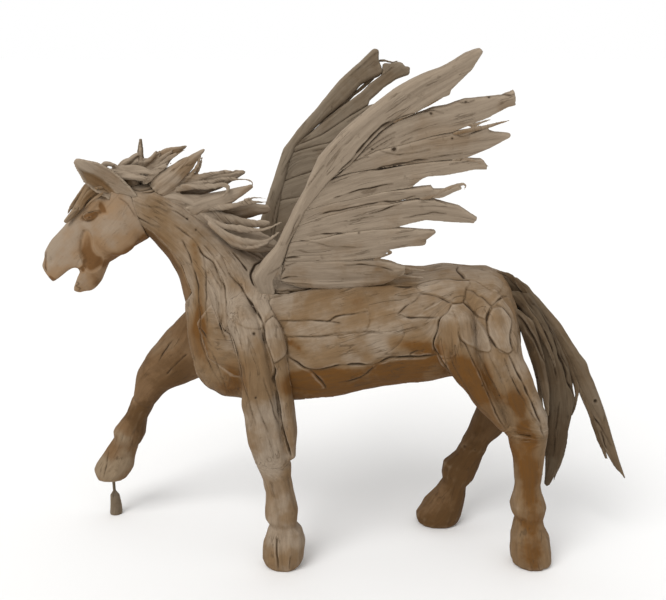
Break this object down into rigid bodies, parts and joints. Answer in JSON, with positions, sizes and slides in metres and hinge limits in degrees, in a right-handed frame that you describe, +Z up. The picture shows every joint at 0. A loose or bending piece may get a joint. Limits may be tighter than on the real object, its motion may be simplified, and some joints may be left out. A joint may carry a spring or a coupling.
{
  "type": "winged horse sculpture",
  "caption": "Standing winged horse sculpture built of weathered driftwood boards, one foreleg raised on a small prop, wings lifted and swept back",
  "frame": {"origin": "on the ground, at the middle of the figure's footprint box", "axes": "+Z up; the horse faces -X with its tail toward +X; its near (left) side is -Y"},
  "size_m": [1.8758, 0.737, 1.6081],
  "materials": {
    "sun_bleached_boards": "weathered, matt, grey-tan with dark splits",
    "warm_brown_boards": "weathered, matt, warm brown",
    "carved_wood": "carved smooth, dull, pale tan",
    "greyed_boards": "weathered, matt, grey"
  },
  "bodies": {
    "root": {"neck_crest_board": "sun_bleached_boards", "neck_near_upper_board": "sun_bleached_boards", "neck_near_middle_board": "sun_bleached_boards", "neck_near_lower_board": "sun_bleached_boards", "neck_far_lower_board": "sun_bleached_boards", "neck_far_upper_board": "sun_bleached_boards", "back_board": "sun_bleached_boards", "flank_near_board_1": "sun_bleached_boards", "flank_near_board_2": "sun_bleached_boards", "flank_near_board_3": "sun_bleached_boards", "flank_near_board_4": "sun_bleached_boards", "belly_board": "sun_bleached_boards", "flank_far_lower_board": "sun_bleached_boards", "flank_far_upper_board": "sun_bleached_boards", "croup_board": "sun_bleached_boards", "rump_near_upper_board": "sun_bleached_boards", "rump_far_board": "sun_bleached_boards", "rump_near_lower_board": "sun_bleached_boards", "near_thigh_front_board": "sun_bleached_boards", "near_ear": "sun_bleached_boards", "forelock": "sun_bleached_boards", "mane_poll_lock": "sun_bleached_boards", "mane_crest_lock": "sun_bleached_boards", "mane_swept_lock": "sun_bleached_boards", "mane_curled_lock": "sun_bleached_boards", "mane_thick_lock": "sun_bleached_boards", "mane_low_lock": "sun_bleached_boards", "tail_long_lock": "sun_bleached_boards", "tail_middle_lock": "sun_bleached_boards", "tail_near_lock": "sun_bleached_boards", "near_wing_leading_board": "sun_bleached_boards", "near_wing_feather_1": "sun_bleached_boards", "near_wing_feather_2": "sun_bleached_boards", "near_wing_feather_3": "sun_bleached_boards", "near_wing_feather_4": "sun_bleached_boards", "near_wing_feather_5": "sun_bleached_boards", "near_wing_feather_6": "sun_bleached_boards", "near_wing_feather_7": "sun_bleached_boards", "throat_board": "warm_brown_boards", "breast_near_board": "warm_brown_boards", "breast_under_board": "warm_brown_boards", "near_foreleg_front_board": "warm_brown_boards", "near_foreleg_rear_board": "warm_brown_boards", "near_thigh_rear_board": "warm_brown_boards", "raised_foreleg_upper_board": "warm_brown_boards", "far_hind_leg_upper_board": "warm_brown_boards", "carved_head": "carved_wood", "near_foreleg_carved_hoof": "carved_wood", "near_hind_leg_carved_hoof": "carved_wood", "raised_foreleg_carved_hoof": "carved_wood", "far_hind_leg_carved_hoof": "carved_wood", "far_ear": "greyed_boards", "tail_far_lock": "greyed_boards", "raised_hoof_prop": "greyed_boards", "far_wing_leading_board": "greyed_boards", "far_wing_feather_1": "greyed_boards", "far_wing_feather_2": "greyed_boards", "far_wing_feather_3": "greyed_boards", "far_wing_feather_4": "greyed_boards", "far_wing_feather_5": "greyed_boards"}
  },
  "joints": []
}
